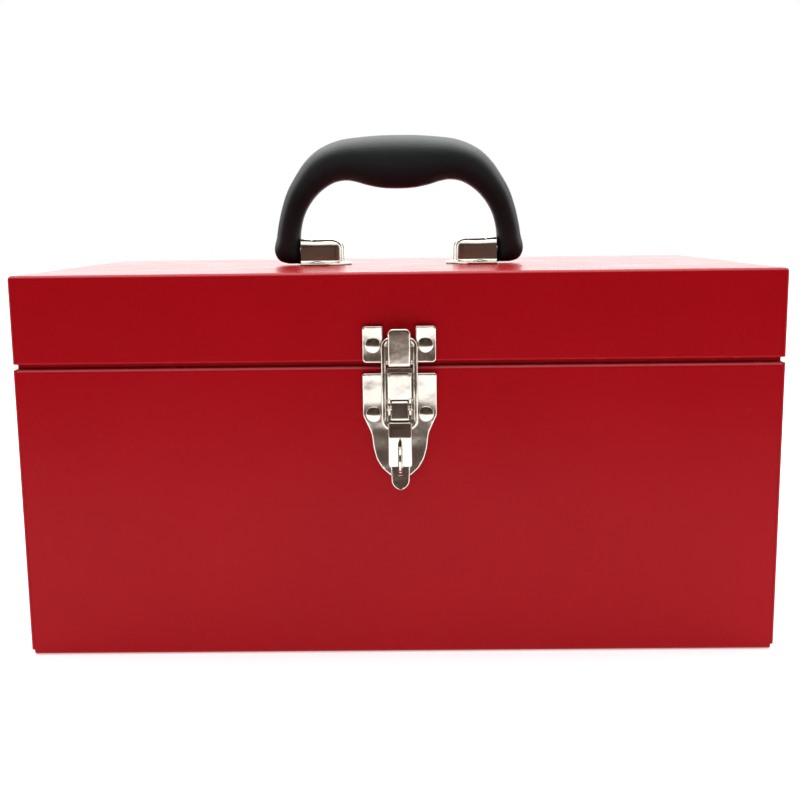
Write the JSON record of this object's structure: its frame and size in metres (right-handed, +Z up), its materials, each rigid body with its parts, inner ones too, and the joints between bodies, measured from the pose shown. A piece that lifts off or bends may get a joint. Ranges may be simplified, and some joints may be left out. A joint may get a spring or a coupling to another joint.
{
  "type": "toolbox with tray",
  "caption": "Folded-steel toolbox with a hinged lid, padlockable draw latch, swinging carrying handle and a lift-out tray.",
  "frame": {"origin": "centre of the bottom face, at the level it stands on", "axes": "+X to the right, +Y to the back (the latch is on the -Y face), +Z up"},
  "size_m": [0.36, 0.2376, 0.2528],
  "materials": {
    "red_paint": "gloss red powder coat on folded sheet steel",
    "nickel_plate": "bright nickel plating on pressed steel",
    "zinc_plate": "dull zinc plating",
    "black_grip": "satin black moulded plastic, finely grained"
  },
  "bodies": {
    "body": {"body_end_left": "red_paint", "body_end_right": "red_paint", "body_shell": "red_paint", "hinge_left_body_leaf": "nickel_plate", "hinge_left_body_rivet_1": "nickel_plate", "hinge_left_body_rivet_2": "nickel_plate", "hinge_left_pin": "zinc_plate", "hinge_right_body_leaf": "nickel_plate", "hinge_right_body_rivet_1": "nickel_plate", "hinge_right_body_rivet_2": "nickel_plate", "hinge_right_pin": "zinc_plate", "latch_base": "nickel_plate", "latch_base_rivet_left": "nickel_plate", "latch_base_rivet_right": "nickel_plate", "latch_pivot_pin": "nickel_plate", "padlock_staple": "nickel_plate", "tray_ledge_left": "red_paint", "tray_ledge_right": "red_paint"},
    "lid": {"bracket_left_rivet_back": "nickel_plate", "bracket_left_rivet_front": "nickel_plate", "bracket_right_rivet_back": "nickel_plate", "bracket_right_rivet_front": "nickel_plate", "handle_bracket_left": "nickel_plate", "handle_bracket_right": "nickel_plate", "hinge_left_lid_leaf": "nickel_plate", "hinge_left_lid_rivet_1": "nickel_plate", "hinge_left_lid_rivet_2": "nickel_plate", "hinge_right_lid_leaf": "nickel_plate", "hinge_right_lid_rivet_1": "nickel_plate", "hinge_right_lid_rivet_2": "nickel_plate", "latch_strike": "nickel_plate", "latch_strike_rivet_left": "nickel_plate", "latch_strike_rivet_right": "nickel_plate", "lid_end_left": "red_paint", "lid_end_right": "red_paint", "lid_shell": "red_paint"},
    "handle": {"handle_core": "nickel_plate", "handle_grip": "black_grip"},
    "latch_lever": {"latch_lever": "nickel_plate"},
    "latch_bail": {"latch_bail": "nickel_plate"},
    "tray": {"tray_handle": "nickel_plate", "tray_pan": "red_paint", "tray_rivet_back_1": "nickel_plate", "tray_rivet_back_2": "nickel_plate", "tray_rivet_front_1": "nickel_plate", "tray_rivet_front_2": "nickel_plate"}
  },
  "joints": [
    {"name": "lid_hinge", "type": "hinge", "parent": "body", "child": "lid", "pos_m": [0, 0.1083, 0.141], "axis": [-1, 0, 0], "range_deg": [0, 105]},
    {"name": "handle_pivot", "type": "hinge", "parent": "lid", "child": "handle", "pos_m": [0, 0, 0.191], "axis": [1, 0, 0], "range_deg": [-84, 84]},
    {"name": "latch_lever_pivot", "type": "hinge", "parent": "body", "child": "latch_lever", "pos_m": [0.0006, -0.11, 0.1207], "axis": [-1, 0, 0], "range_deg": [0, 95]},
    {"name": "latch_bail_pivot", "type": "hinge", "parent": "latch_lever", "child": "latch_bail", "pos_m": [0.0006, -0.1085, 0.1114], "axis": [-1, 0, 0], "range_deg": [-80, 0]},
    {"name": "tray_lift", "type": "slide", "parent": "body", "child": "tray", "axis": [0, 0, 1], "range_m": [0, 0.07]}
  ],
  "couplings": [
    {"joint": "latch_bail_pivot", "follows": "latch_lever_pivot", "ratio": -0.825},
    {"joint": "tray_lift", "follows": "lid_hinge", "m_per_rad": 0.0381}
  ]
}
